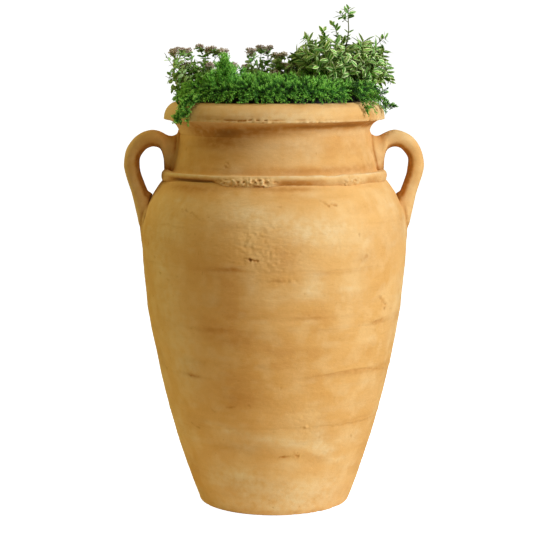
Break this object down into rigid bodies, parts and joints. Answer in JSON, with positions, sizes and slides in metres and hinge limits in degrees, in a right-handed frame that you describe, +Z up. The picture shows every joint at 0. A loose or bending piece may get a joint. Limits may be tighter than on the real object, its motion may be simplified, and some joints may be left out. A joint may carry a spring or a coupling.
{
  "type": "amphora planter",
  "caption": "Tall terracotta garden amphora with two strap handles, a neck cordon and a rolled lip, planted with herbs and stonecrop in a lift-out liner.",
  "frame": {"origin": "on the ground at the middle of the base slab", "axes": "+Z up, -Y towards the viewer's front, the handles along -X (left) and +X (right)"},
  "size_m": [0.4466, 0.395, 0.743],
  "materials": {
    "terracotta": "matte, unglazed, sandy",
    "liner_plastic": "satin black",
    "compost": "matte, crumbly shredded bark",
    "stonecrop_leaf": "satin leaf",
    "marjoram_leaf": "matte leaf",
    "fern_leaf": "satin leaf",
    "variegated_leaf": "satin leaf",
    "trailing_leaf": "satin leaf"
  },
  "bodies": {
    "jar": {"base_slab": "terracotta", "foot_belt": "terracotta", "lower_belt": "terracotta", "middle_belt": "terracotta", "upper_belt": "terracotta", "belly_belt": "terracotta", "shoulder_belt": "terracotta", "neck_collar": "terracotta", "rim_lip": "terracotta", "cordon": "terracotta", "handle_left": "terracotta", "handle_right": "terracotta"},
    "planting": {"liner_pot": "liner_plastic", "compost": "compost", "stonecrop_mat": "stonecrop_leaf", "marjoram_left": "marjoram_leaf", "marjoram_centre": "marjoram_leaf", "fern_plume": "fern_leaf", "variegated_shrub": "variegated_leaf", "trailing_sprig_left": "trailing_leaf", "trailing_sprig_right": "trailing_leaf"}
  },
  "joints": [
    {"name": "planting_lift", "type": "slide", "parent": "jar", "child": "planting", "axis": [0, 0, 1], "range_m": [0, 0.25]}
  ]
}
